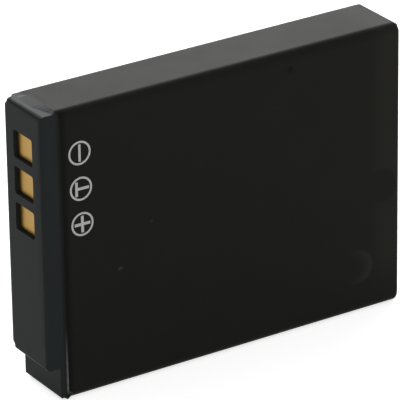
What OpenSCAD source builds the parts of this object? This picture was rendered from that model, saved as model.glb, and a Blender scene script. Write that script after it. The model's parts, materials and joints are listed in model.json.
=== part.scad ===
// Slim rechargeable battery for a compact camera.
// X runs from the contact face to the base, Y through the thickness and Z up the width.
// The pack stands on a long narrow edge, with the origin under its centre.

/* [Pack] */
// Length of the pack, from the contact face to the base
pack_l = 43.8; // [40:0.1:60]
// Width of the pack, which is its height as it stands
pack_w = 32; // [30:0.1:44]
// Thickness of the pack
pack_t = 7.9; // [7.5:0.1:11]

/* [Film wrap] */
// Thickness of the printed film
film_t = 0.18; // [0.08:0.01:0.2]
// Clearance between the film and what it covers
film_fit = 0.02; // [0.01:0.01:0.05]
// Outer radius of the film round the long edges
film_edge_r = 1.05; // [0.9:0.05:1.6]
// Gap between the film and the rim of each cap
film_margin = 0.04; // [0.03:0.01:0.15]
// How much further back the film starts at the standing edge than at the top
film_skew = 0.15; // [0:0.05:0.8]
// Width of the butt seam under the standing edge
film_seam = 0.3; // [0.1:0.1:1]

/* [Terminal cap] */
// Thickness of the wall with the windows, and of the walls of the keying step
face_wall = 1; // [0.8:0.05:1.2]
// Thickness of the skirts of both caps under the film
skirt_wall = 0.7; // [0.5:0.05:0.8]
// Radius of the long edges of both caps' rims
rim_edge_r = 0.35; // [0.2:0.05:0.6]
// Radius of the upright edges of the contact face
face_edge_r = 0.6; // [0.2:0.05:0.8]
// Radius of the top edge of the contact face
face_top_r = 0.4; // [0.1:0.05:0.8]
// Depth of the keying step behind the contact face
key_d = 1.5; // [1:0.1:1.6]
// Height of the keying step above the standing edge
key_h = 3.6; // [2.5:0.1:5]
// Length of the rim between the keying step and the film
foot_l = 0.55; // [0.4:0.05:1]
// Radius of the edges round the keying step
key_edge_r = 0.5; // [0.2:0.1:0.8]
// Radius of the foot under the keying step
foot_r = 0.25; // [0.1:0.05:0.3]
// Radius inside the corners of the cap's hollow
hollow_r = 0.4; // [0.2:0.1:0.8]
// Thickness of the guide ribs inside the cap
rib_t = 0.6; // [0.4:0.1:1]

/* [Contacts] */
// Size of each window through the thickness of the pack
window_w = 3.65; // [3:0.05:4.2]
// Size of each window along the width of the pack
window_h = 3; // [2.2:0.05:3.1]
// Radius of the window corners
window_r = 0.3; // [0.1:0.05:0.5]
// Distance between the centres of neighbouring windows
contact_pitch = 4; // [3.6:0.1:4.6]
// Distance from the top of the pack to the centre of the first window
contact_drop = 4.7; // [4.5:0.1:6]
// How deep the contacts lie behind the contact face
contact_sink = 0.45; // [0.3:0.05:0.7]
// Clearance round each contact in its window
contact_fit = 0.1; // [0.05:0.05:0.3]

/* [Protection board] */
// Thickness of the board
board_t = 0.8; // [0.6:0.1:1]
// Clearance between the board and the cap
board_fit = 0.15; // [0.1:0.05:0.3]
// Diameter of the pegs that locate the board
peg_d = 1; // [0.8:0.1:1.2]
// Clearance round each peg
peg_fit = 0.05; // [0.03:0.01:0.1]
// How far the pegs stand out behind the board
peg_tip = 0.3; // [0.2:0.1:0.6]
// Distance from the ends of the board to the pegs
peg_inset = 1.1; // [1:0.1:1.3]
// Clearance between the pegs and the leads
lead_fit = 0.35; // [0.2:0.05:0.5]

/* [Parts on the board] */
// Room for the parts between the board and the holder
part_room = 1.05; // [1:0.05:1.4]
// Width of the protection chip's body
ic_w = 1.6; // [1.4:0.1:1.8]
// Length of the protection chip's body
ic_l = 2.9; // [2.7:0.1:3.1]
// Height of the protection chip
ic_h = 0.95; // [0.8:0.05:1]
// Span of the protection chip over its legs
ic_span = 2.8; // [2.4:0.1:3.2]
// Distance between the protection chip's legs
ic_pitch = 0.95; // [0.8:0.05:1]
// Width of each leg of the protection chip
ic_leg = 0.4; // [0.3:0.05:0.5]
// Width of the switch pair's body
switch_w = 4.4; // [4:0.1:4.8]
// Length of the switch pair's body
switch_l = 3; // [2.8:0.1:3.2]
// Height of the switch pair
switch_h = 0.9; // [0.8:0.05:1]
// Span of the switch pair over its legs
switch_span = 6.4; // [5.8:0.1:6.6]
// Distance between the switch pair's legs
switch_pitch = 0.65; // [0.6:0.05:0.75]
// Width of each leg of the switch pair
switch_leg = 0.25; // [0.2:0.05:0.3]
// Thickness of the chips' legs
leg_t = 0.15; // [0.1:0.01:0.2]
// Height of the chips' bodies above the board
standoff = 0.1; // [0.05:0.01:0.15]
// Length of the small chip parts
small_l = 1.6; // [1.4:0.1:1.8]
// Width of the small chip parts
small_w = 0.8; // [0.6:0.1:1]
// Height of the capacitor and the thermistor
small_h = 0.8; // [0.6:0.05:0.95]
// Height of the supply resistor
resistor_h = 0.45; // [0.35:0.05:0.6]
// Length of the sense resistor
sense_l = 2; // [1.6:0.1:2.2]
// Width of the sense resistor
sense_w = 1.25; // [1:0.05:1.4]
// Height of the sense resistor
sense_h = 0.5; // [0.4:0.05:0.6]
// Thickness of the solder caps of the chip parts
solder_t = 0.04; // [0.02:0.01:0.06]

/* [Board holder] */
// Thickness of the holder's rails
rail_t = 0.5; // [0.4:0.05:0.6]
// Clearance between the rails and the cap
rail_fit = 0.1; // [0.05:0.05:0.2]
// Thickness of the holder's web
web_t = 0.5; // [0.4:0.1:0.8]
// Room between the web and the cell's paper
cell_room = 1.05; // [1:0.05:1.4]
// Length of board that each lead takes up beyond the web
lead_room = 4; // [3.9:0.1:4.5]

/* [Nickel strips] */
// Thickness of the nickel strips
strip_t = 0.15; // [0.1:0.01:0.2]
// Width of the nickel strips
strip_w = 2.5; // [2:0.1:3]
// Inner radius of the bends
bend_r = 0.2; // [0.1:0.05:0.3]
// Length of each end that is soldered or welded
strip_end = 1.6; // [1.4:0.1:1.8]

/* [Cell] */
// Thickness of the insulating paper
paper_t = 0.2; // [0.1:0.05:0.25]
// Distance from the edge of the cell to the edge of the paper
paper_inset = 1; // [0.8:0.1:1.3]
// Clearance in the cut-outs of the paper
paper_fit = 0.15; // [0.1:0.05:0.3]
// Radius of the can's lower edge
can_base_r = 0.6; // [0.3:0.1:0.9]
// Radius of the rivet's head
rivet_head_r = 1.3; // [1:0.1:1.5]
// Thickness of the rivet's head
rivet_head_t = 0.25; // [0.2:0.05:0.3]
// Radius of the rivet's shank
shank_r = 0.6; // [0.5:0.05:0.7]
// Side of the gasket's square flange
gasket_w = 3.8; // [3.4:0.1:4]
// Thickness of the gasket's flange
gasket_t = 0.3; // [0.26:0.02:0.4]
// Wall of the gasket round the shank
gasket_wall = 0.35; // [0.3:0.05:0.5]
// Clearance between rivet, gasket, plug and their bores
bore_fit = 0.02; // [0.01:0.01:0.05]
// Depth of the rivet's bore in the cell
shank_l = 0.9; // [0.6:0.1:1.2]
// Radius of the plug in the filling hole
plug_r = 0.55; // [0.4:0.05:0.7]
// Depth of the filling hole
plug_l = 0.45; // [0.3:0.05:0.6]
// Length of the vent
vent_l = 3.4; // [3:0.1:4]
// Width of the vent
vent_w = 1.8; // [1.4:0.1:2.2]
// Width of the score round the vent
score_w = 0.2; // [0.15:0.05:0.3]
// Thickness of the clad tab
clad_t = 0.4; // [0.3:0.05:0.45]
// Length of the clad tab
clad_l = 2.8; // [2.4:0.1:3]
// Width of the clad tab
clad_w = 3.2; // [2.8:0.1:3.6]

/* [Thermal cutoff] */
// Length of the cutoff's body
cutoff_l = 4.4; // [3.8:0.1:4.8]
// Width of the cutoff's body
cutoff_w = 3.2; // [2.8:0.1:3.6]
// Thickness of the cutoff's body
cutoff_t = 0.85; // [0.75:0.05:0.9]

/* [Base cap] */
// Length of the base cap
base_l = 4.5; // [3.5:0.1:6]
// Length of its rim that shows behind the film
base_rim_l = 0.65; // [0.5:0.05:1.5]
// Thickness of its end wall
base_wall = 1; // [0.8:0.1:1.4]
// Radius of the upright edges of the base
base_edge_r = 0.7; // [0.4:0.05:0.9]
// Radius of the upper and lower corners of the base
base_corner_r = 0.4; // [0.3:0.05:0.9]
// Number of hollows along the base cap
base_cells = 5; // [3:1:7]
// Thickness of the foam tape
tape_t = 0.3; // [0.2:0.05:0.5]
// Distance from the inside of the base cap's skirt to the tape
tape_inset = 0.3; // [0.2:0.1:0.6]

/* [Hidden] */
$fn = 64;
over = 1;
joint = 0.5;

cap_color = [0.17, 0.18, 0.18];
film_color = [0.10, 0.10, 0.09];
gold_color = [0.82, 0.64, 0.32];
nickel_color = [0.72, 0.71, 0.68];
can_color = [0.76, 0.77, 0.78];
board_color = [0.10, 0.34, 0.20];
chip_color = [0.12, 0.12, 0.13];
ceramic_color = [0.62, 0.50, 0.36];
gasket_color = [0.15, 0.20, 0.42];
paper_color = [0.80, 0.78, 0.68];
holder_color = [0.85, 0.85, 0.82];

// What the film covers, which is the cell and both skirts
core_inset = film_t + film_fit;
core_t = pack_t - 2 * core_inset;
core_r = film_edge_r - film_t - film_fit;
core_low = core_inset;
core_top = pack_w - core_inset;
rim_l = key_d + foot_l;

// Levels behind the contact face, from the board to the cell
board_back = face_wall + board_t;
web_x = board_back + part_room;
paper_x = web_x + web_t + cell_room;
cell_x = paper_x + paper_t;
cell_end = pack_l - base_l;

// Hollow of the terminal cap
hollow_half = core_t / 2 - skirt_wall;
hollow_low = core_low + skirt_wall;
hollow_top = core_top - skirt_wall;
step_top = key_h + face_wall;
step_back = key_d + face_wall;

// Board and holder
board_half = hollow_half - board_fit;
board_low = step_top + board_fit;
board_top = hollow_top - board_fit;
peg_places = [board_low + peg_inset, board_top - peg_inset];
rail_half = hollow_half - rail_fit;
web_low = board_low + lead_room;
web_top = board_top - lead_room;

// Rows of parts along the back of the board, with equal gaps between them
row_lengths = [small_w, ic_l, switch_span, sense_w];
row_gap = (web_top - web_low - sum(row_lengths)) / (len(row_lengths) + 1);
row_side = (rail_half - rail_t) / 2;

// Contacts, from the top of the pack down
contact_z = [for (i = [0:2]) pack_w - contact_drop - i * contact_pitch];

// Terminals of the cell and the run of the leads
cell_mid = pack_w / 2;
rivet_x = cell_x - gasket_t;
rivet_top = rivet_x - rivet_head_t;
clad_x = cell_x - clad_t;
peg_reach = peg_inset + peg_d / 2 + lead_fit;
positive_z = board_low + peg_reach;
negative_z = board_top - peg_reach - strip_t;
clad_top = positive_z - bend_r;

// The cutoff lies halfway between the rivet and the negative lead, and its tabs reach both
tab_x = rivet_top - strip_t;
tab_low = cell_mid - rivet_head_r;
tab_top = negative_z - bend_r;
cutoff_mid = (cell_mid + rivet_head_r + tab_top - strip_end) / 2;

// Vent and filling plug, on both sides of the rivet
vent_mid = (cell_mid - gasket_w / 2 + web_low) / 2;
plug_mid = (cell_mid + gasket_w / 2 + web_top) / 2;

// Sum of a list
function sum(list, i = 0) = i < len(list) ? list[i] + sum(list, i + 1) : 0;

// Middle of a row of parts on the board
function row_z(i) =
    web_low + (i + 1) * row_gap + sum([for (k = [0:1:i - 1]) row_lengths[k]]) + row_lengths[i] / 2;

// An area with rounded corners, from one corner to the other
module rounded_area(from, to, r) {
    size = to - from;
    translate(from + [r, 0])
        square([size[0] - 2 * r, size[1]]);
    translate(from + [0, r])
        square([size[0], size[1] - 2 * r]);
    for (u = [from[0] + r, to[0] - r], v = [from[1] + r, to[1] - r])
        translate([u, v])
            circle(r);
}

// A section across Y and Z, extruded towards the base from x behind the contact face
module along_x(x, length) {
    translate([x - pack_l / 2, 0, 0])
        rotate([90, 0, 90])
            linear_extrude(length)
                children();
}

// A profile across X and Z, with x behind the contact face, extruded through the thickness
module through_y(width) {
    translate([-pack_l / 2, 0, 0])
        rotate([90, 0, 0])
            linear_extrude(width, center = true)
                children();
}

// A plan across X and Y, with x behind the contact face, extruded up the width
module up_z(z, height) {
    translate([-pack_l / 2, 0, z])
        linear_extrude(height)
            children();
}

// A plain block between two corners, with x behind the contact face
module block(from, to) {
    translate(from - [pack_l / 2, 0, 0])
        cube(to - from);
}

// A round bar along X, centred in the thickness
module rod(x, z, length, r) {
    along_x(x, length)
        translate([0, z])
            circle(r);
}

// The section under the film, or the section of a rim where r is given
module core_section(r = core_r) {
    rounded_area([-core_t / 2, core_low], [core_t / 2, core_top], r);
}

// Outside of the terminal cap: contact face, keying step, rim and the skirt under the film
module terminal_cap_outside() {
    intersection() {
        along_x(0, rim_l)
            core_section(rim_edge_r);
        up_z(0, pack_w)
            rounded_area([0, -core_t / 2], [rim_l + over, core_t / 2], face_edge_r);
        union() {
            intersection() {
                along_x(0, rim_l)
                    rounded_area([-core_t / 2, key_h], [core_t / 2, pack_w + over], key_edge_r);
                through_y(pack_t)
                    rounded_area([0, key_h], [rim_l + over, pack_w + over], key_edge_r);
                through_y(pack_t)
                    rounded_area([0, key_h - over], [rim_l + over, core_top], face_top_r);
            }
            intersection() {
                through_y(pack_t)
                    rounded_area([key_d, core_low], [rim_l + over, key_h + over], foot_r);
                up_z(0, key_h + joint)
                    rounded_area([key_d, -core_t / 2], [rim_l + over, core_t / 2], foot_r);
            }
        }
    }
    along_x(rim_l - foot_r, cell_x - rim_l + foot_r)
        core_section();
}

// A rectangle with rounded corners, centred on the axis at z
module centred_area(z, size, r) {
    translate([0, z])
        rounded_area(-size / 2, size / 2, r);
}

// A slot with round ends, centred on the axis at z and lying along Z
module slot_area(z, w, l) {
    translate([0, z]) {
        square([w, l - w], center = true);
        for (side = [-1, 1])
            translate([0, side * (l - w) / 2])
                circle(w / 2);
    }
}

module terminal_cap() {
    color(cap_color) {
        difference() {
            terminal_cap_outside();
            along_x(face_wall, cell_x)
                rounded_area([-hollow_half, step_top], [hollow_half, hollow_top], hollow_r);
            along_x(step_back, cell_x)
                rounded_area([-hollow_half, hollow_low], [hollow_half, hollow_top], hollow_r);
            along_x(-over, face_wall + 2 * over)
                for (z = contact_z)
                    centred_area(z, [window_w, window_h], window_r);
        }
        for (z = peg_places)
            rod(face_wall - joint, z, joint + board_t + peg_tip, peg_d / 2);
        for (side = [-1, 1])
            block(
                [step_back - joint, side * hollow_half / 2 - rib_t / 2, hollow_low - joint],
                [paper_x - peg_tip, side * hollow_half / 2 + rib_t / 2, key_h]);
    }
}

// One contact block, soldered to the board and set in its window
module contact(index) {
    color(gold_color)
        along_x(contact_sink, face_wall - contact_sink)
            centred_area(contact_z[index], [window_w, window_h] - [2, 2] * contact_fit, window_r);
}

module contact_negative() {
    contact(0);
}

module contact_thermistor() {
    contact(1);
}

module contact_positive() {
    contact(2);
}

module protection_board() {
    color(board_color)
        along_x(face_wall, board_t)
            difference() {
                rounded_area([-board_half, board_low], [board_half, board_top], hollow_r);
                for (z = peg_places)
                    translate([0, z])
                        circle(peg_d / 2 + peg_fit);
            }
}

// Places a part on the back of the board, with its own Z pointing away from the board
module on_board(y, z, turn = 0) {
    translate([board_back - pack_l / 2, y, z])
        rotate([0, 90, 0])
            rotate([0, 0, turn])
                children();
}

// A chip with gull wing legs on two sides, its body between them
module gull_wing_chip(w, l, h, span, legs, pitch, leg_w) {
    knee = (span + w) / 4;
    shoulder = (standoff + h) / 2;
    root = w / 2 - leg_t;
    translate([-w / 2, -l / 2, standoff])
        cube([w, l, h - standoff]);
    for (side = [0, 1], i = [0:legs - 1])
        mirror([side, 0, 0])
            translate([0, (i - (legs - 1) / 2) * pitch, 0])
                rotate([90, 0, 0])
                    linear_extrude(leg_w, center = true)
                        polygon([
                            [root, shoulder],
                            [knee, shoulder],
                            [knee, leg_t],
                            [span / 2, leg_t],
                            [span / 2, 0],
                            [knee - leg_t, 0],
                            [knee - leg_t, shoulder - leg_t],
                            [root, shoulder - leg_t]
                        ]);
}

// A chip resistor or capacitor with a solder cap at each end
module chip_part(l, w, h) {
    cap_l = l / 5;
    translate([solder_t - l / 2, solder_t - w / 2, solder_t])
        cube([l, w, h] - [2, 2, 2] * solder_t);
    for (x = [-l / 2, l / 2 - cap_l])
        translate([x, -w / 2, 0])
            cube([cap_l, w, h]);
}

module protection_ic() {
    color(chip_color)
        on_board(0, row_z(1), 90)
            gull_wing_chip(ic_w, ic_l, ic_h, ic_span, 3, ic_pitch, ic_leg);
}

module mosfet_pair() {
    color(chip_color)
        on_board(0, row_z(2))
            gull_wing_chip(switch_w, switch_l, switch_h, switch_span, 4, switch_pitch, switch_leg);
}

module supply_resistor() {
    color(chip_color)
        on_board(-row_side, row_z(0), 90)
            chip_part(small_l, small_w, resistor_h);
}

module supply_capacitor() {
    color(ceramic_color)
        on_board(row_side, row_z(0), 90)
            chip_part(small_l, small_w, small_h);
}

module sense_resistor() {
    color(chip_color)
        on_board(-row_side, row_z(3), 90)
            chip_part(sense_l, sense_w, sense_h);
}

module thermistor() {
    color(ceramic_color)
        on_board(row_side, row_z(3), 90)
            chip_part(small_l, small_w, small_h);
}

// Moulded frame between the board and the cell: two rails and a web with access holes
module board_holder() {
    color(holder_color)
        difference() {
            union() {
                for (side = [-1, 1])
                    block(
                        [board_back, side * (rail_half - rail_t / 2) - rail_t / 2, board_low],
                        [paper_x, side * (rail_half - rail_t / 2) + rail_t / 2, board_top]);
                block([web_x, -rail_half, web_low], [web_x + web_t, rail_half, web_top]);
            }
            rod(web_x - over, cell_mid, web_t + 2 * over, rivet_head_r + paper_fit);
            along_x(web_x - over, web_t + 2 * over)
                slot_area(vent_mid, vent_w, vent_l);
        }
}

// One bend of a strip, in the quarter of the ring that the two signs name
module bend_area(x, z, side_x, side_z) {
    outer = bend_r + strip_t;
    translate([x, z])
        mirror([side_x > 0 ? 0 : 1, 0])
            mirror([0, side_z > 0 ? 0 : 1])
                intersection() {
                    difference() {
                        circle(outer);
                        circle(bend_r);
                    }
                    square(outer);
                }
}

// Side view of a folded lead: an end on the board, a riser at z and an end at the level of the cell
module lead_area(level, z, side_board, side_cell) {
    outer = bend_r + strip_t;
    board_bend = side_board > 0 ? z + outer : z - bend_r;
    cell_bend = side_cell > 0 ? z + outer : z - bend_r;
    translate([board_back, side_board > 0 ? board_bend : board_bend - strip_end])
        square([strip_t, strip_end]);
    bend_area(board_back + outer, board_bend, -1, -side_board);
    translate([board_back + outer, z])
        square([level - board_back - 2 * outer, strip_t]);
    bend_area(level - outer, cell_bend, 1, -side_cell);
    translate([level - strip_t, side_cell > 0 ? cell_bend : cell_bend - strip_end])
        square([strip_t, strip_end]);
}

module negative_lead() {
    color(nickel_color)
        through_y(strip_w)
            lead_area(tab_x, negative_z, -1, -1);
}

module positive_lead() {
    color(nickel_color)
        through_y(strip_w)
            lead_area(clad_x, positive_z, 1, -1);
}

module thermal_cutoff() {
    color(chip_color)
        block(
            [paper_x - cutoff_t, -cutoff_w / 2, cutoff_mid - cutoff_l / 2],
            [paper_x, cutoff_w / 2, cutoff_mid + cutoff_l / 2]);
    color(nickel_color)
        block([tab_x, -strip_w / 2, tab_low], [tab_x + strip_t, strip_w / 2, tab_top]);
}

module insulating_paper() {
    color(paper_color)
        along_x(paper_x, paper_t)
            difference() {
                centred_area(
                    cell_mid,
                    [core_t, core_top - core_low] - [2, 2] * paper_inset,
                    hollow_r);
                centred_area(cell_mid, [1, 1] * (gasket_w + 2 * paper_fit), window_r);
                centred_area(clad_top - clad_l / 2, [clad_w, clad_l] + [2, 2] * paper_fit, window_r);
                translate([0, plug_mid])
                    circle(plug_r + paper_fit);
                slot_area(
                    vent_mid,
                    vent_w + 2 * (score_w + paper_fit),
                    vent_l + 2 * (score_w + paper_fit));
            }
}

// Sealed can with its top plate, bored for the rivet and the filling plug, and scored at the vent
module cell() {
    color(can_color)
        difference() {
            intersection() {
                along_x(cell_x, cell_end - cell_x)
                    core_section();
                through_y(pack_t)
                    rounded_area([cell_x - over, core_low], [cell_end, core_top], can_base_r);
                up_z(0, pack_w)
                    rounded_area([cell_x - over, -core_t / 2], [cell_end, core_t / 2], can_base_r);
            }
            rod(cell_x - over, cell_mid, over + shank_l, shank_r + gasket_wall + 2 * bore_fit);
            rod(cell_x - over, plug_mid, over + plug_l, plug_r + bore_fit);
            along_x(cell_x - over, over + score_w)
                difference() {
                    slot_area(vent_mid, vent_w + 2 * score_w, vent_l + 2 * score_w);
                    slot_area(vent_mid, vent_w, vent_l);
                }
        }
}

module cell_rivet() {
    color(nickel_color) {
        rod(rivet_top, cell_mid, rivet_head_t, rivet_head_r);
        rod(rivet_top, cell_mid, rivet_head_t + gasket_t + shank_l - gasket_wall, shank_r);
    }
}

module rivet_gasket() {
    color(gasket_color)
        difference() {
            union() {
                along_x(rivet_x, gasket_t)
                    centred_area(cell_mid, [gasket_w, gasket_w], window_r);
                rod(rivet_x, cell_mid, gasket_t + shank_l - bore_fit, shank_r + gasket_wall + bore_fit);
            }
            rod(rivet_x - over, cell_mid, over + gasket_t + shank_l - gasket_wall, shank_r + bore_fit);
        }
}

module fill_plug() {
    color(can_color)
        rod(cell_x - paper_t / 2, plug_mid, paper_t / 2 + plug_l - bore_fit, plug_r);
}

module clad_tab() {
    color(nickel_color)
        block([clad_x, -clad_w / 2, clad_top - clad_l], [cell_x, clad_w / 2, clad_top]);
}

module base_tape() {
    color(cap_color)
        block(
            [cell_end, tape_inset - hollow_half, hollow_low + tape_inset],
            [cell_end + tape_t, hollow_half - tape_inset, hollow_top - tape_inset]);
}

// Moulded base: rim and rounded end wall, skirt under the film, and a ribbed hollow behind the tape
module base_cap() {
    hollow_pitch = (hollow_top - hollow_low + rib_t) / base_cells;
    color(cap_color)
        difference() {
            intersection() {
                union() {
                    along_x(cell_end, base_l)
                        core_section();
                    along_x(pack_l - base_rim_l, base_rim_l)
                        core_section(rim_edge_r);
                }
                up_z(0, pack_w)
                    rounded_area([cell_end - over, -core_t / 2], [pack_l, core_t / 2], base_edge_r);
                through_y(pack_t)
                    rounded_area([cell_end - over, core_low], [pack_l, core_top], base_corner_r);
            }
            block([cell_end - over, -hollow_half, hollow_low], [cell_end + tape_t, hollow_half, hollow_top]);
            for (i = [0:base_cells - 1], side = [-1, 1])
                translate([0, side * (hollow_half / 2 + rib_t / 4), hollow_low + i * hollow_pitch])
                    block(
                        [cell_end, rib_t / 4 - hollow_half / 2, 0],
                        [pack_l - base_wall, hollow_half / 2 - rib_t / 4, hollow_pitch - rib_t]);
        }
}

// Printed film, wrapped once round the pack, cut a little askew at the contact end
module wrap_label() {
    film_end = pack_l - base_rim_l - film_margin;
    film_start = rim_l + film_margin;
    color(film_color)
        intersection() {
            along_x(0, pack_l)
                difference() {
                    rounded_area([-pack_t / 2, 0], [pack_t / 2, pack_w], film_edge_r);
                    rounded_area(
                        [film_t - pack_t / 2, film_t],
                        [pack_t / 2 - film_t, pack_w - film_t],
                        film_edge_r - film_t);
                    translate([-film_seam / 2, -over])
                        square([film_seam, 2 * over]);
                }
            through_y(pack_t)
                polygon([
                    [film_start, pack_w],
                    [film_end, pack_w],
                    [film_end, 0],
                    [film_start + film_skew, 0]
                ]);
        }
}

terminal_cap();
contact_negative();
contact_thermistor();
contact_positive();
protection_board();
protection_ic();
mosfet_pair();
supply_resistor();
supply_capacitor();
sense_resistor();
thermistor();
board_holder();
negative_lead();
positive_lead();
thermal_cutoff();
insulating_paper();
cell();
cell_rivet();
rivet_gasket();
fill_plug();
clad_tab();
base_tape();
base_cap();
wrap_label();
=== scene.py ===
"""Looks of a slim camera battery: camera, light, floor, finishes, rounder cap corners, film ends, marks."""
import json
import math

import bmesh
import bpy
from mathutils import Matrix, Vector


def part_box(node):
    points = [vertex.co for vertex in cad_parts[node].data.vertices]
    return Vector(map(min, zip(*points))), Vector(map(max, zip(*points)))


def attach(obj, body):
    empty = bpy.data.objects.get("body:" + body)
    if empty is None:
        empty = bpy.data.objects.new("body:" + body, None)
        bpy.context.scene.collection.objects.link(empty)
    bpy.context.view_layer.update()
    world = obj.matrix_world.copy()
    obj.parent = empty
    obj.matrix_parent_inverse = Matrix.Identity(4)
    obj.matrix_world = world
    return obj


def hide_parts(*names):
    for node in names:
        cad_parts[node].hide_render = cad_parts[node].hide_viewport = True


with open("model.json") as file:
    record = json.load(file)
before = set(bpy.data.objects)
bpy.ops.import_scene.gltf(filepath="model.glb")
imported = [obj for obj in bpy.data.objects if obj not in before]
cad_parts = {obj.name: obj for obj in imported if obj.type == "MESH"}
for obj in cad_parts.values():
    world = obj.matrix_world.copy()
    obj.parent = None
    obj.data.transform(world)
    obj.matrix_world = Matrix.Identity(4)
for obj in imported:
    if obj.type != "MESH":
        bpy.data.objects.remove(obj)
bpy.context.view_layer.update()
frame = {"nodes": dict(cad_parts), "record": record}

MM = 0.001
NODES = frame["nodes"]

# Boxes of the film and of both caps, in millimetres in the row frame
FILM_LOW, FILM_HIGH = (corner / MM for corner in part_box("wrap_label"))
RIM_LOW, RIM_HIGH = (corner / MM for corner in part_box("terminal_cap"))
BASE_LOW, BASE_HIGH = (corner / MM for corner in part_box("base_cap"))

# Camera, from a fit of the pack's edges, step and windows to the photograph
EYE = Vector((-213.094, -332.515, 195.367)) * MM
AZIMUTH = math.radians(-32.5405)
ELEVATION = math.radians(24.4269)
ROLL = math.radians(-0.8696)
LENS = 376.106
SENSOR = 36.0

# Light: the level all round, and each softbox's name, place, width and height in metres, and radiance
WORLD_LEVEL = 0.50
SOFTBOXES = (
    ("back_softbox", Vector((0.35, 0.75, 0.42)), 1.2, 0.7, 3.9),
    ("front_softbox", Vector((-0.15, -1.0, 0.45)), 0.9, 0.9, 1.45),
)
SOFTBOX_TARGET = Vector((0, 0, 0.02))
# Watts of an area lamp for each square metre and unit of radiance
LAMP_POWER = 4
WHITE = (1.0, 1.0, 1.0, 1.0)

# Floor, with its size in metres and its gap below the pack in millimetres
FLOOR_COLOUR = (0.80, 0.80, 0.80, 1.0)
FLOOR_LIFT = 0.63
FLOOR_SIZE = 6.0
FLOOR_GAP = 0.02

# Polarity marks, with places as (x, z) on the marked face. All lengths from here on are in millimetres
MARK_TOP = Vector((-17.65, 27.17))
MARK_PITCH = 3.92
MARK_DRIFT = 0.06
RING_RADIUS = 1.30
RING_STROKE = 0.215
STROKES = (0.27, 0.30, 0.32)
INK_THICKNESS = 0.012

# Spots on the marked face: x, z, radius and softness, and the gain in tone
FILM_SPOTS = (
    (-13.32, 13.2, 0.13, 0.10, 2.5),
    (-13.05, 13.25, 0.11, 0.10, 2.5),
    (-9.3, 17.5, 0.12, 0.08, 1.5),
    (7.8, 30.15, 0.35, 0.25, -0.5),
)
# Painted sheen where the film lies slack over the base cap: where it comes in along x and z, and a disc that
# it leaves out
SLACK_SHEEN_X = (17.4, 19.8)
SLACK_SHEEN_Z = (2.0, 7.0)
SLACK_SHEEN_GAIN = 0.38
SLACK_SHEEN_DISC = (19.2, 14.1, 1.9, 0.25)
# Painted highlight on a dent: a light crescent, which is the first disc less the second
DENT_HIGHLIGHT_DISC = (16.2, 5.45, 1.95, 0.2)
DENT_HIGHLIGHT_INNER_DISC = (15.2, 5.5, 1.95, 0.9)
DENT_HIGHLIGHT_GAIN = 0.7
# Painted shade in a band behind the film's start, and how far it goes
PAINTED_START_SHADE = 0.45
PAINTED_START_SHADE_RUN = (0.15, 0.9)
# Pale line on the film's worn start, partly its core and partly a painted highlight: heights where it comes
# in and goes out, and its place on the slope
CORE_AND_HIGHLIGHT_LOW = (0.5, 1.4)
CORE_AND_HIGHLIGHT_HIGH = (1.5, 9.0)
CORE_AND_HIGHLIGHT_RUN = (-0.22, -0.12)

# Corner radii of the film's section and of the caps' rims
FILM_RADIUS = 1.05
RIM_RADIUS = 0.35
# How far the film's start leans back towards the standing edge, and its radius where it stands off the cap
FILM_SKEW = 0.15
LIFTED_RADIUS = 0.5
# Run of its slope down to the cap: round the sides, along the middle of the top, and near the top's two long
# edges. Between the last two it changes over these ranges of y, on the marked side and at the rear
EDGE_RUN = 0.40
EDGE_TOP_RUN = 1.65
EDGE_DIP_RUN = 0.75
EDGE_DIP = (-2.9, -0.6)
EDGE_REAR = (2.2, 3.0)
# How far a ring at the film's end goes in under the film, and how deep it lies in what it meets
EDGE_ROOT = 0.50
EDGE_HIDE = 0.02
# Bend of the film over the base cap: its length along x, its depth and its number of rows
BASE_RUN = 0.38
BASE_INSET = 0.42
BASE_STEPS = 6

# Height of the keying step
KEY_HEIGHT = 3.6
# Rounder corners of the caps: the tip of each one, and its radii from the tip inwards
CAP_CORNERS = {
    "base_cap": (
        (Vector((BASE_HIGH.x, BASE_LOW.y, BASE_LOW.z)), Vector((-0.75, 0.75, 0.85))),
        (Vector((BASE_HIGH.x, BASE_LOW.y, BASE_HIGH.z)), Vector((-0.75, 0.75, -0.75))),
    ),
    "terminal_cap": (
        (Vector((RIM_LOW.x, RIM_HIGH.y, RIM_HIGH.z)), Vector((1.1, -0.8, -0.8))),
        (Vector((RIM_LOW.x, RIM_HIGH.y, KEY_HEIGHT)), Vector((1.0, -0.8, 0.9))),
    ),
}
# Cuts along each axis of such a corner, and the share of its radii over which it blends in
CORNER_CUTS = 6
CORNER_BLEND = 0.28
# Points of a cap closer than this are merged, and edges sharper than this angle stay sharp
MERGE_DISTANCE = 0.0001
SHARP_ANGLE = math.radians(30)

# Colour sockets of the Mix node, which come after those for numbers and vectors
MIX_INPUTS = (6, 7)
MIX_OUTPUT = 2
# Most of a noise lies between these values
NOISE_RANGE = (0.3, 0.7)


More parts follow.
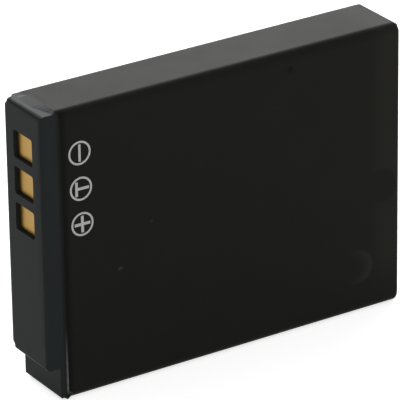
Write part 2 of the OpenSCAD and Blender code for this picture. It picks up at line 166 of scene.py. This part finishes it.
class Shader:
    """A material's node tree, with short calls for the nodes that the finishes use."""

    def __init__(self, name):
        self.material = bpy.data.materials.new(name)
        self.material.use_nodes = True
        self.tree = self.material.node_tree
        self.tree.nodes.clear()
        self.output = self.add("ShaderNodeOutputMaterial")
        # Nodes and pieces sit at the origin, so their own coordinates are the row frame's
        place = self.add("ShaderNodeTexCoord").outputs["Object"]
        self.place = self.vector("SCALE", place, scale=1 / MM)

    def add(self, kind, **settings):
        """A new node with these settings."""
        node = self.tree.nodes.new(kind)
        for key, value in settings.items():
            setattr(node, key, value)
        return node

    def feed(self, socket, value):
        """Links a socket, or sets its constant. None leaves it as it is."""
        if isinstance(value, bpy.types.NodeSocket):
            self.tree.links.new(value, socket)
        elif value is not None:
            socket.default_value = value

    def vector(self, operation, first, second=None, scale=None):
        """The result of a vector operation."""
        node = self.add("ShaderNodeVectorMath", operation=operation)
        self.feed(node.inputs[0], first)
        self.feed(node.inputs[1], second)
        if scale is not None:
            self.feed(node.inputs["Scale"], scale)
        return node.outputs["Value" if operation == "DISTANCE" else "Vector"]

    def math(self, operation, first, second=None, clamp=False):
        """The result of an operation on one or two values."""
        node = self.add("ShaderNodeMath", operation=operation, use_clamp=clamp)
        self.feed(node.inputs[0], first)
        self.feed(node.inputs[1], second)
        return node.outputs[0]

    def blend(self, first, second, share):
        """The mean of two values, with so large a share of the first."""
        return self.math("ADD", self.math("MULTIPLY", first, share), self.math("MULTIPLY", second, 1 - share))

    def axis(self, name):
        """One coordinate in the row frame, in millimetres."""
        node = self.add("ShaderNodeSeparateXYZ")
        self.feed(node.inputs[0], self.place)
        return node.outputs[name]

    def noise(self, per_mm, detail=3.0, roughness=0.55, stretch=None):
        """Noise from 0 to 1, with so many cells in a millimetre."""
        place = self.place if stretch is None else self.vector("MULTIPLY", self.place, stretch)
        node = self.add("ShaderNodeTexNoise")
        self.feed(node.inputs["Vector"], place)
        node.inputs["Scale"].default_value = per_mm
        node.inputs["Detail"].default_value = detail
        node.inputs["Roughness"].default_value = roughness
        return node.outputs["Fac"]

    def cells(self, per_mm, randomness=1.0):
        """Distance to the nearest of a scatter of points, in cells."""
        node = self.add("ShaderNodeTexVoronoi")
        self.feed(node.inputs["Vector"], self.place)
        node.inputs["Scale"].default_value = per_mm
        node.inputs["Randomness"].default_value = randomness
        return node.outputs["Distance"]

    def ramp(self, value, start, end, low=0.0, high=1.0):
        """A smooth step from low at start to high at end."""
        node = self.add("ShaderNodeMapRange", interpolation_type="SMOOTHSTEP")
        self.feed(node.inputs["Value"], value)
        for key, number in (("From Min", start), ("From Max", end), ("To Min", low), ("To Max", high)):
            node.inputs[key].default_value = number
        return node.outputs["Result"]

    def vary(self, noise, low, high):
        """A value that goes from low to high with a noise."""
        return self.ramp(noise, *NOISE_RANGE, low, high)

    def mix(self, factor, first, second):
        """A colour between two colours."""
        node = self.add("ShaderNodeMix", data_type="RGBA")
        self.feed(node.inputs["Factor"], factor)
        for index, colour in zip(MIX_INPUTS, (first, second)):
            self.feed(node.inputs[index], colour)
        return node.outputs[MIX_OUTPUT]

    def bump(self, height, depth_mm):
        """A bump whose whole height is depth_mm."""
        node = self.add("ShaderNodeBump")
        self.feed(node.inputs["Height"], height)
        node.inputs["Distance"].default_value = depth_mm * MM
        return node.outputs["Normal"]

    def finish(self, colour, roughness, normal, metallic=0.0, specular=0.5):
        """The material, once its shader has these inputs."""
        node = self.add("ShaderNodeBsdfPrincipled")
        self.feed(node.inputs["Base Color"], colour)
        self.feed(node.inputs["Roughness"], roughness)
        self.feed(node.inputs["Normal"], normal)
        self.feed(node.inputs["Metallic"], metallic)
        node.inputs["Specular IOR Level"].default_value = specular
        self.tree.links.new(node.outputs[0], self.output.inputs["Surface"])
        return self.material

    def disc(self, x, z, radius, soft):
        """1 inside a disc on the marked face, and 0 outside it."""
        flat = self.vector("MULTIPLY", self.place, (1.0, 0.0, 1.0))
        away = self.vector("DISTANCE", flat, (x, 0.0, z))
        marked_side = self.math("LESS_THAN", self.axis("Y"), 0.0)
        return self.math("MULTIPLY", marked_side, self.ramp(away, radius - soft, radius + soft, 1.0, 0.0))


def grey(level, tint=(1.0, 1.0, 1.0)):
    """A grey colour, with a tint for each channel."""
    return tuple(level * t for t in tint) + (1.0,)


def cap_plastic():
    """Dark moulded plastic with a fine spark-eroded texture."""
    s = Shader("cap_plastic")
    cloud = s.noise(0.35, 3.0)
    grain = s.noise(9.0, 2.0)
    tone = s.blend(cloud, grain, 0.6)
    colour = s.mix(tone, grey(0.0162, (0.84, 1.0, 0.98)), grey(0.0215, (0.85, 1.0, 0.98)))
    return s.finish(colour, s.vary(cloud, 0.30, 0.34), s.bump(grain, 0.003), specular=0.0215)


def printed_film():
    """Near black satin film, with fine grain and small scuffs, painted sheen where it lies slack over the
    base cap, a painted highlight on a dent and painted shade behind its start.
    """
    s = Shader("printed_film")
    cloud = s.noise(0.22, 3.0)
    grain = s.noise(6.0, 3.0)
    tone = s.blend(cloud, grain, 0.5)
    plain = s.mix(tone, grey(0.0088, (1.0, 1.0, 0.86)), grey(0.0120, (1.0, 1.0, 0.84)))
    # Painted shade in a band behind the film's start
    shade = s.math("SUBTRACT", 1.0, s.ramp(film_run(s), *PAINTED_START_SHADE_RUN, PAINTED_START_SHADE, 0.0))
    for *spot, gain in FILM_SPOTS:
        change = s.math("MULTIPLY", s.disc(*spot), gain)
        shade = s.math("MULTIPLY", shade, s.math("ADD", 1.0, change))
    # Painted sheen where the film lies slack over the base cap, less a disc
    slack = s.math("MULTIPLY", s.ramp(s.axis("X"), *SLACK_SHEEN_X), s.ramp(s.axis("Z"), *SLACK_SHEEN_Z))
    off_disc = s.math("SUBTRACT", 1.0, s.disc(*SLACK_SHEEN_DISC))
    lift = s.math("MULTIPLY", s.math("MULTIPLY", slack, off_disc), SLACK_SHEEN_GAIN)
    # Painted highlight on a dent, as a light crescent
    crescent = s.math("SUBTRACT", s.disc(*DENT_HIGHLIGHT_DISC), s.disc(*DENT_HIGHLIGHT_INNER_DISC), clamp=True)
    shade = s.math("ADD", s.math("ADD", shade, lift), s.math("MULTIPLY", crescent, DENT_HIGHLIGHT_GAIN))
    colour = s.vector("SCALE", plain, scale=shade)
    return s.finish(colour, s.vary(cloud, 0.40, 0.44), s.bump(grain, 0.0015), specular=0.0205)


def film_run(s):
    """Distance behind the film's leaning start, in millimetres."""
    from_top = s.math("SUBTRACT", FILM_HIGH.z, s.axis("Z"))
    lean = s.math("MULTIPLY", from_top, FILM_SKEW / FILM_HIGH.z)
    return s.math("SUBTRACT", s.axis("X"), s.math("ADD", lean, FILM_LOW.x))


def film_edge():
    """The film's cut end, worn down to the cap, with a pale line near the standing edge that is partly the
    film's core and partly a painted highlight.
    """
    s = Shader("film_edge")
    run = film_run(s)
    print_share = s.ramp(run, -EDGE_RUN, 0.0)
    # Both colours are darker than the cap and the film, as painted shade on the slope down to the cap
    dark = s.mix(print_share, grey(0.0150, (0.85, 1.0, 0.98)), grey(0.0055, (1.0, 1.0, 0.86)))
    # Pale line, partly the film's core and partly a painted highlight
    height = s.math("MULTIPLY", s.ramp(s.axis("Z"), *CORE_AND_HIGHLIGHT_HIGH, 1.0, 0.0), s.ramp(s.axis("Z"), *CORE_AND_HIGHLIGHT_LOW))
    core_and_highlight = s.math("MULTIPLY", height, s.ramp(run, *CORE_AND_HIGHLIGHT_RUN))
    worn = s.math("MULTIPLY", core_and_highlight, s.ramp(s.noise(1.5, 2.0), 0.3, 0.6, 0.7, 1.0))
    colour = s.mix(worn, dark, grey(0.10))
    return s.finish(colour, 0.4, s.bump(s.noise(6.0, 2.0), 0.002), specular=0.040)


def gold_plate():
    """Satin gold plating with fine rubbing marks from spring pins."""
    s = Shader("gold_plate")
    rubs = s.noise(3.0, 4.0, 0.6, (1.0, 1.0, 0.15))
    colour = s.mix(rubs, grey(0.272, (1.0, 0.57, 0.104)), grey(0.302, (1.0, 0.59, 0.115)))
    return s.finish(colour, s.vary(rubs, 0.30, 0.38), s.bump(rubs, 0.0005), metallic=1.0)


def rolled_metal(name, dark, light, tint, along):
    """Rolled or drawn metal with faint lines along one axis."""
    s = Shader(name)
    lines = s.noise(12.0, 3.0, 0.6, along)
    cloud = s.noise(0.5, 3.0)
    colour = s.mix(s.blend(lines, cloud, 0.6), grey(dark, tint), grey(light, tint))
    return s.finish(colour, s.vary(lines, 0.26, 0.42), s.bump(lines, 0.002), metallic=1.0)


def nickel():
    """Rolled nickel, with its lines up the pack."""
    return rolled_metal("nickel", 0.50, 0.66, (1.0, 0.97, 0.90), (1.0, 1.0, 0.05))


def can_aluminium():
    """Drawn aluminium, with its lines along the pack."""
    return rolled_metal("can_aluminium", 0.56, 0.70, (0.98, 0.99, 1.0), (0.05, 1.0, 1.0))


def board_laminate():
    """Green solder mask over copper tracks, with the weave of the laminate showing faintly."""
    s = Shader("board_laminate")
    tracks = s.ramp(s.cells(0.7, 0.6), 0.42, 0.46)
    weave = s.noise(4.0, 1.0, 0.5, (1.0, 1.0, 0.3))
    masked = s.mix(tracks, grey(0.10, (0.16, 1.0, 0.42)), grey(0.16, (0.22, 1.0, 0.45)))
    colour = s.mix(s.vary(weave, 0.0, 0.35), masked, grey(0.07, (0.2, 1.0, 0.5)))
    return s.finish(colour, 0.32, s.bump(tracks, 0.03))


def banded(name, body, ends, axis, low, high):
    """A body with metal ends along one axis, low and high being where the body ends."""
    s = Shader(name)
    place = s.axis(axis)
    below = s.math("LESS_THAN", place, low)
    above = s.math("GREATER_THAN", place, high)
    metal = s.math("ADD", below, above, clamp=True)
    speck = s.noise(8.0, 3.0)
    body_level, body_tint = body
    end_level, end_tint = ends
    plain = s.mix(speck, grey(body_level * 0.8, body_tint), grey(body_level * 1.3, body_tint))
    bright = s.mix(speck, grey(end_level * 0.85, end_tint), grey(end_level, end_tint))
    colour = s.mix(metal, plain, bright)
    return s.finish(colour, s.vary(speck, 0.35, 0.5), s.bump(speck, 0.004), metallic=metal)


def holder_plastic():
    """Natural moulded plastic."""
    s = Shader("holder_plastic")
    cloud = s.noise(0.6, 3.0)
    grain = s.noise(7.0, 2.0)
    colour = s.mix(cloud, grey(0.60, (1.0, 1.0, 0.93)), grey(0.72, (1.0, 1.0, 0.95)))
    return s.finish(colour, s.vary(grain, 0.42, 0.55), s.bump(grain, 0.004))


def insulating_paper():
    """Pressed paper with short fibres."""
    s = Shader("insulating_paper")
    fibres = s.noise(5.0, 4.0, 0.7, (1.0, 0.3, 1.0))
    colour = s.mix(fibres, grey(0.46, (1.0, 0.94, 0.70)), grey(0.66, (1.0, 0.95, 0.74)))
    return s.finish(colour, 0.85, s.bump(fibres, 0.02), specular=0.2)


def gasket_plastic():
    """Blue sealing plastic."""
    s = Shader("gasket_plastic")
    cloud = s.noise(2.0, 3.0)
    colour = s.mix(cloud, grey(0.10, (0.12, 0.22, 1.0)), grey(0.17, (0.14, 0.25, 1.0)))
    return s.finish(colour, s.vary(cloud, 0.38, 0.5), s.bump(cloud, 0.005))


def foam_tape():
    """Soft dark foam with open cells."""
    s = Shader("foam_tape")
    pores = s.cells(3.5)
    colour = s.mix(s.ramp(pores, 0.1, 0.7), grey(0.016), grey(0.042))
    return s.finish(colour, 0.9, s.bump(pores, 0.06), specular=0.2)


def white_ink():
    """Printed light ink, a little uneven."""
    s = Shader("white_ink")
    cloud = s.noise(2.5, 3.0)
    colour = s.mix(cloud, grey(0.32, (0.99, 1.0, 1.0)), grey(0.40, (0.99, 1.0, 1.0)))
    return s.finish(colour, s.vary(cloud, 0.42, 0.52), s.bump(cloud, 0.002), specular=0.3)


def dress_nodes():
    """Gives every CAD node the finish of its slot."""
    # Each of these functions has the name of its slot
    makers = (
        cap_plastic, printed_film, gold_plate, nickel, can_aluminium,
        board_laminate, holder_plastic, insulating_paper, gasket_plastic, foam_tape,
    )
    finishes = {make.__name__: make() for make in makers}
    # Level and tint of the small parts' bodies and of their metal ends
    dark = (0.022, (1.0, 1.0, 1.05))
    ceramic = (0.24, (1.0, 0.70, 0.42))
    tin = (0.62, (1.0, 0.99, 0.95))
    # The small parts' axes, and the width of the metal at each end as a share of their length
    ends = {
        "protection_ic": ("Y", 0.214, dark),
        "mosfet_pair": ("Z", 0.156, dark),
        "supply_resistor": ("Z", 0.2, dark),
        "supply_capacitor": ("Z", 0.2, ceramic),
        "sense_resistor": ("Z", 0.2, dark),
        "thermistor": ("Z", 0.2, ceramic),
        "thermal_cutoff": ("Z", 0.31, dark),
    }
    for part in frame["record"]["subparts"]:
        name = part["node"]
        if name in ends:
            axis, share, body = ends[name]
            low, high = (getattr(corner, axis.lower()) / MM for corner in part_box(name))
            metal_end = share * (high - low)
            material = banded(name, body, tin, axis, low + metal_end, high - metal_end)
        else:
            material = finishes[part["material_slot"]]
        node = NODES[name]
        if not node.material_slots:
            node.data.materials.append(material)
        for slot in node.material_slots:
            slot.material = material


def add_piece(name, mesh, material):
    """Puts a new mesh on the pack."""
    mesh.materials.append(material)
    piece = bpy.data.objects.new(name, mesh)
    bpy.context.scene.collection.objects.link(piece)
    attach(piece, "root")
    return piece


def closed_mesh(name, bm):
    """A mesh from what bm holds, with its faces outwards. bm is freed."""
    bmesh.ops.recalc_face_normals(bm, faces=bm.faces)
    mesh = bpy.data.meshes.new(name)
    bm.to_mesh(mesh)
    bm.free()
    return mesh


def circle_points(centre, radius, count=96):
    """Points of a circle, anticlockwise."""
    turns = (2 * math.pi * k / count for k in range(count))
    return [centre + radius * Vector((math.cos(a), math.sin(a))) for a in turns]


def add_print(bm, outer, inner=None):
    """One closed patch of ink on the marked face. Points are (x, z) in millimetres, anticlockwise."""
    def loop(points, y):
        return [bm.verts.new(Vector((p.x, y, p.y)) * MM) for p in points]

    def wall(back, front):
        count = len(back)
        for k in range(count):
            bm.faces.new((back[k], back[(k + 1) % count], front[(k + 1) % count], front[k]))

    levels = (FILM_LOW.y, FILM_LOW.y - INK_THICKNESS)
    back, front = (loop(outer, y) for y in levels)
    wall(back, front)
    if inner is None:
        bm.faces.new(front)
        bm.faces.new(back)
    else:
        inner_back, inner_front = (loop(inner, y) for y in levels)
        wall(inner_back, inner_front)
        wall(front, inner_front)
        wall(back, inner_back)


def sign_outline(corners, centre):
    """The outline of a sign, from its corners as (x, z) from the centre."""
    return [centre + Vector(corner) for corner in corners]


def minus_sign(half):
    """A bar up the width of the pack."""
    arm = 0.93
    return [(half, -arm), (half, arm), (-half, arm), (-half, -arm)]


def t_sign(half):
    """A T whose head points to the contacts."""
    head = -0.52
    foot = 0.95
    arm = 0.80
    return [
        (head + half, -arm), (head + half, -half), (foot, -half), (foot, half),
        (head + half, half), (head + half, arm), (head - half, arm), (head - half, -arm),
    ]


def plus_sign(half):
    """Two equal bars."""
    arm = 0.92
    return [
        (half, -arm), (half, -half), (arm, -half), (arm, half), (half, half), (half, arm),
        (-half, arm), (-half, half), (-arm, half), (-arm, -half), (-half, -half), (-half, -arm),
    ]


def add_marks():
    """Ringed polarity marks beside the contacts."""
    ink = white_ink()
    signs = (("mark_negative", minus_sign), ("mark_thermistor", t_sign), ("mark_positive", plus_sign))
    for index, (name, sign) in enumerate(signs):
        centre = MARK_TOP + index * Vector((MARK_DRIFT, -MARK_PITCH))
        bm = bmesh.new()
        add_print(bm, circle_points(centre, RING_RADIUS), circle_points(centre, RING_RADIUS - RING_STROKE))
        add_print(bm, sign_outline(sign(STROKES[index] / 2), centre))
        add_piece(name, closed_mesh(name, bm), ink)


def section_loop(low, high, radii, steps=12):
    """Points (y, z) round a section with rounded corners, from the lower front corner on.

    Each corner and each side is cut into the same number of steps."""
    corners = (
        (Vector((low.y, low.z)), 1, 1, math.pi), (Vector((high.y, low.z)), -1, 1, 1.5 * math.pi),
        (Vector((high.y, high.z)), -1, -1, 0.0), (Vector((low.y, high.z)), 1, -1, 0.5 * math.pi),
    )
    arcs = []
    for (corner, side_y, side_z, start), radius in zip(corners, radii):
        centre = corner + radius * Vector((side_y, side_z))
        turns = (start + 0.5 * math.pi * k / steps for k in range(steps + 1))
        arcs.append([centre + radius * Vector((math.cos(turn), math.sin(turn))) for turn in turns])
    points = []
    for arc, following in zip(arcs, arcs[1:] + arcs[:1]):
        points += arc
        points += [arc[-1].lerp(following[0], k / steps) for k in range(1, steps)]
    return points


def inset_loop(low, high, depth, radii):
    """A section whose sides lie so far inside the corners' box."""
    step = Vector((0, depth, depth))
    return section_loop(low + step, high - step, radii)


def add_film_end(name, place, material, slope, edge_radii):
    """A closed ring at an end of the film, where place gives the end's x for a point (y, z).

    A row is a loop of points, after a function of how far each lies from the end towards the film. slope has
    the rows beyond the end, and edge_radii are the corner radii of the row at the end."""
    toward_film = 1 if place(Vector((0, 0))) < 0 else -1
    under = inset_loop(RIM_LOW, RIM_HIGH, EDGE_HIDE, (RIM_RADIUS,) * 4)
    inside = inset_loop(FILM_LOW, FILM_HIGH, EDGE_HIDE, (FILM_RADIUS - EDGE_HIDE,) * 4)
    rows = slope + (
        (lambda p: -EDGE_HIDE, section_loop(FILM_LOW, FILM_HIGH, edge_radii)),
        (lambda p: EDGE_ROOT, inside),
        (lambda p: EDGE_ROOT, under),
    )
    bm = bmesh.new()
    loops = []
    for away, loop in rows:
        points = [Vector((place(p) + toward_film * away(p), p.x, p.y)) for p in loop]
        loops.append([bm.verts.new(point * MM) for point in points])
    count = len(loops[0])
    for near, far in zip(loops, loops[1:] + loops[:1]):
        for k in range(count):
            bm.faces.new((near[k], near[(k + 1) % count], far[(k + 1) % count], far[k]))
    add_piece(name, closed_mesh(name, bm), material)


def share_of(value, start, end):
    """How far a value has come from start to end, from 0 to 1."""
    return min(1.0, max(0.0, (value - start) / (end - start)))


def soften_corner(bm, tip, reach):
    """Cuts a corner finer, and brings what lies outside an ellipsoid that fits into it onto the ellipsoid.

    reach holds the ellipsoid's radii, and points from the tip inwards."""
    centre = tip + reach
    for axis in range(3):
        normal = Vector((0, 0, 0))
        normal[axis] = 1
        for k in range(CORNER_CUTS):
            place = centre.copy()
            place[axis] -= reach[axis] * math.sin(0.5 * math.pi * k / CORNER_CUTS)
            everything = bm.verts[:] + bm.edges[:] + bm.faces[:]
            bmesh.ops.bisect_plane(bm, geom=everything, plane_co=place, plane_no=normal)
    for vert in bm.verts:
        out = Vector((vert.co[k] - centre[k]) / -reach[k] for k in range(3))
        if min(out) > 0 and out.length > 1:
            share = share_of(min(out), 0.0, CORNER_BLEND)
            smooth_share = share * share * (3 - 2 * share)
            goal = Vector(centre[k] - reach[k] * out[k] / out.length for k in range(3))
            vert.co = vert.co.lerp(goal, smooth_share)


def add_rounded_cap(node):
    """A copy of a cap with rounder corners, which stands for it."""
    name = node + "_rounded"
    bm = bmesh.new()
    bm.from_mesh(NODES[node].data)
    bmesh.ops.remove_doubles(bm, verts=bm.verts, dist=MERGE_DISTANCE * MM)
    for tip, reach in CAP_CORNERS[node]:
        soften_corner(bm, tip * MM, reach * MM)
    bmesh.ops.triangulate(bm, faces=bm.faces)
    bm.verts.index_update()
    mesh = bpy.data.meshes.new(name)
    mesh.from_pydata([v.co for v in bm.verts], [], [[v.index for v in face.verts] for face in bm.faces])
    bm.free()
    mesh.shade_smooth()
    mesh.set_sharp_from_angle(angle=SHARP_ANGLE)
    piece = add_piece(name, mesh, NODES[node].material_slots[0].material)
    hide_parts(node)


def add_film_ends():
    """Both ends. The one at the contacts is worn and leans, and stands off the lower front corner."""
    def start(point):
        """Where the leaning start lies along x."""
        return FILM_LOW.x + FILM_SKEW * (FILM_HIGH.z - point.y) / FILM_HIGH.z

    def start_run(point):
        """Long and shallow on top, and steeper towards the marked face and at the rear corner."""
        upper = max(0.0, (point.y - FILM_HIGH.z + FILM_RADIUS) / FILM_RADIUS)
        beyond = share_of(point.x, EDGE_DIP[0], EDGE_DIP[1])
        before = share_of(point.x, EDGE_REAR[1], EDGE_REAR[0])
        top_run = EDGE_DIP_RUN + min(beyond, before) * (EDGE_TOP_RUN - EDGE_DIP_RUN)
        return EDGE_RUN + upper * (top_run - EDGE_RUN)

    rim = inset_loop(RIM_LOW, RIM_HIGH, EDGE_HIDE, (RIM_RADIUS,) * 4)
    lifted = (LIFTED_RADIUS,) + (FILM_RADIUS,) * 3
    add_film_end("film_start", start, film_edge(), ((lambda p: -start_run(p), rim),), lifted)

    def rounded_row(turn):
        """A row of the film's bend over the base cap, at which it has turned so far."""
        depth = BASE_INSET * (1 - math.cos(turn))
        loop = inset_loop(FILM_LOW, FILM_HIGH, depth, (FILM_RADIUS - depth,) * 4)
        return lambda p: -BASE_RUN * math.sin(turn), loop

    bend = tuple(rounded_row(0.5 * math.pi * k / BASE_STEPS) for k in range(BASE_STEPS, 0, -1))
    film = NODES["wrap_label"].material_slots[0].material
    add_film_end("film_stop", lambda p: FILM_HIGH.x, film, bend, (FILM_RADIUS,) * 4)


def make_camera():
    """The camera at the photograph's viewing angle."""
    back = Vector((
        math.sin(AZIMUTH) * math.cos(ELEVATION),
        -math.cos(AZIMUTH) * math.cos(ELEVATION),
        math.sin(ELEVATION),
    ))
    level_right = (-back).cross(Vector((0, 0, 1))).normalized()
    level_up = level_right.cross(-back)
    right = math.cos(ROLL) * level_right + math.sin(ROLL) * level_up
    up = math.cos(ROLL) * level_up - math.sin(ROLL) * level_right
    data = bpy.data.cameras.new("camera")
    data.lens = LENS
    data.sensor_width = SENSOR
    camera = bpy.data.objects.new("camera", data)
    bpy.context.scene.collection.objects.link(camera)
    camera.matrix_world = Matrix.Translation(EYE) @ Matrix((right, up, back)).transposed().to_4x4()
    bpy.context.scene.camera = camera


def seen_rays(tree):
    """1 for rays that show the background: from the camera, and by reflection or through glass."""
    path = tree.nodes.new("ShaderNodeLightPath")
    total = path.outputs["Is Camera Ray"]
    for key in ("Is Glossy Ray", "Is Transmission Ray"):
        node = tree.nodes.new("ShaderNodeMath")
        node.operation = "ADD"
        node.use_clamp = True
        tree.links.new(total, node.inputs[0])
        tree.links.new(path.outputs[key], node.inputs[1])
        total = node.outputs[0]
    return total


def make_world():
    """Even light all round, which shows as white."""
    world = bpy.data.worlds.new("studio")
    world.use_nodes = True
    tree = world.node_tree
    background = tree.nodes["Background"]
    background.inputs["Color"].default_value = WHITE
    level = tree.nodes.new("ShaderNodeMapRange")
    level.inputs["To Min"].default_value = WORLD_LEVEL
    level.inputs["To Max"].default_value = 1.0
    tree.links.new(seen_rays(tree), level.inputs["Value"])
    tree.links.new(level.outputs["Result"], background.inputs["Strength"])
    bpy.context.scene.world = world


def add_softbox(name, place, width, height, radiance):
    """A rectangular lamp of even radiance that faces the pack."""
    data = bpy.data.lights.new(name, "AREA")
    data.shape = "RECTANGLE"
    data.size = width
    data.size_y = height
    data.energy = LAMP_POWER * width * height * radiance
    lamp = bpy.data.objects.new(name, data)
    bpy.context.scene.collection.objects.link(lamp)
    lamp.location = place
    lamp.rotation_euler = (SOFTBOX_TARGET - place).to_track_quat("-Z", "Y").to_euler()
    lamp.visible_camera = False


def make_floor():
    """A plain pale floor, which shows as white and keeps the pack's shadow."""
    bm = bmesh.new()
    bmesh.ops.create_grid(bm, x_segments=1, y_segments=1, size=FLOOR_SIZE / 2)
    mesh = bpy.data.meshes.new("floor")
    bm.to_mesh(mesh)
    bm.free()
    floor = bpy.data.objects.new("floor", mesh)
    floor.location.z = -FLOOR_GAP * MM
    bpy.context.scene.collection.objects.link(floor)
    material = bpy.data.materials.new("floor")
    material.use_nodes = True
    tree = material.node_tree
    tree.nodes.clear()
    output = tree.nodes.new("ShaderNodeOutputMaterial")
    paint = tree.nodes.new("ShaderNodeBsdfDiffuse")
    paint.inputs["Color"].default_value = FLOOR_COLOUR
    lift = tree.nodes.new("ShaderNodeEmission")
    lift.inputs["Color"].default_value = WHITE
    strength = tree.nodes.new("ShaderNodeMath")
    strength.operation = "MULTIPLY"
    tree.links.new(seen_rays(tree), strength.inputs[0])
    strength.inputs[1].default_value = FLOOR_LIFT
    tree.links.new(strength.outputs[0], lift.inputs["Strength"])
    both = tree.nodes.new("ShaderNodeAddShader")
    tree.links.new(paint.outputs[0], both.inputs[0])
    tree.links.new(lift.outputs[0], both.inputs[1])
    tree.links.new(both.outputs[0], output.inputs["Surface"])
    mesh.materials.append(material)


bpy.context.scene.view_settings.view_transform = "Standard"
make_camera()
make_world()
make_floor()
for softbox in SOFTBOXES:
    add_softbox(*softbox)
dress_nodes()
for cap in CAP_CORNERS:
    add_rounded_cap(cap)
add_film_ends()
add_marks()
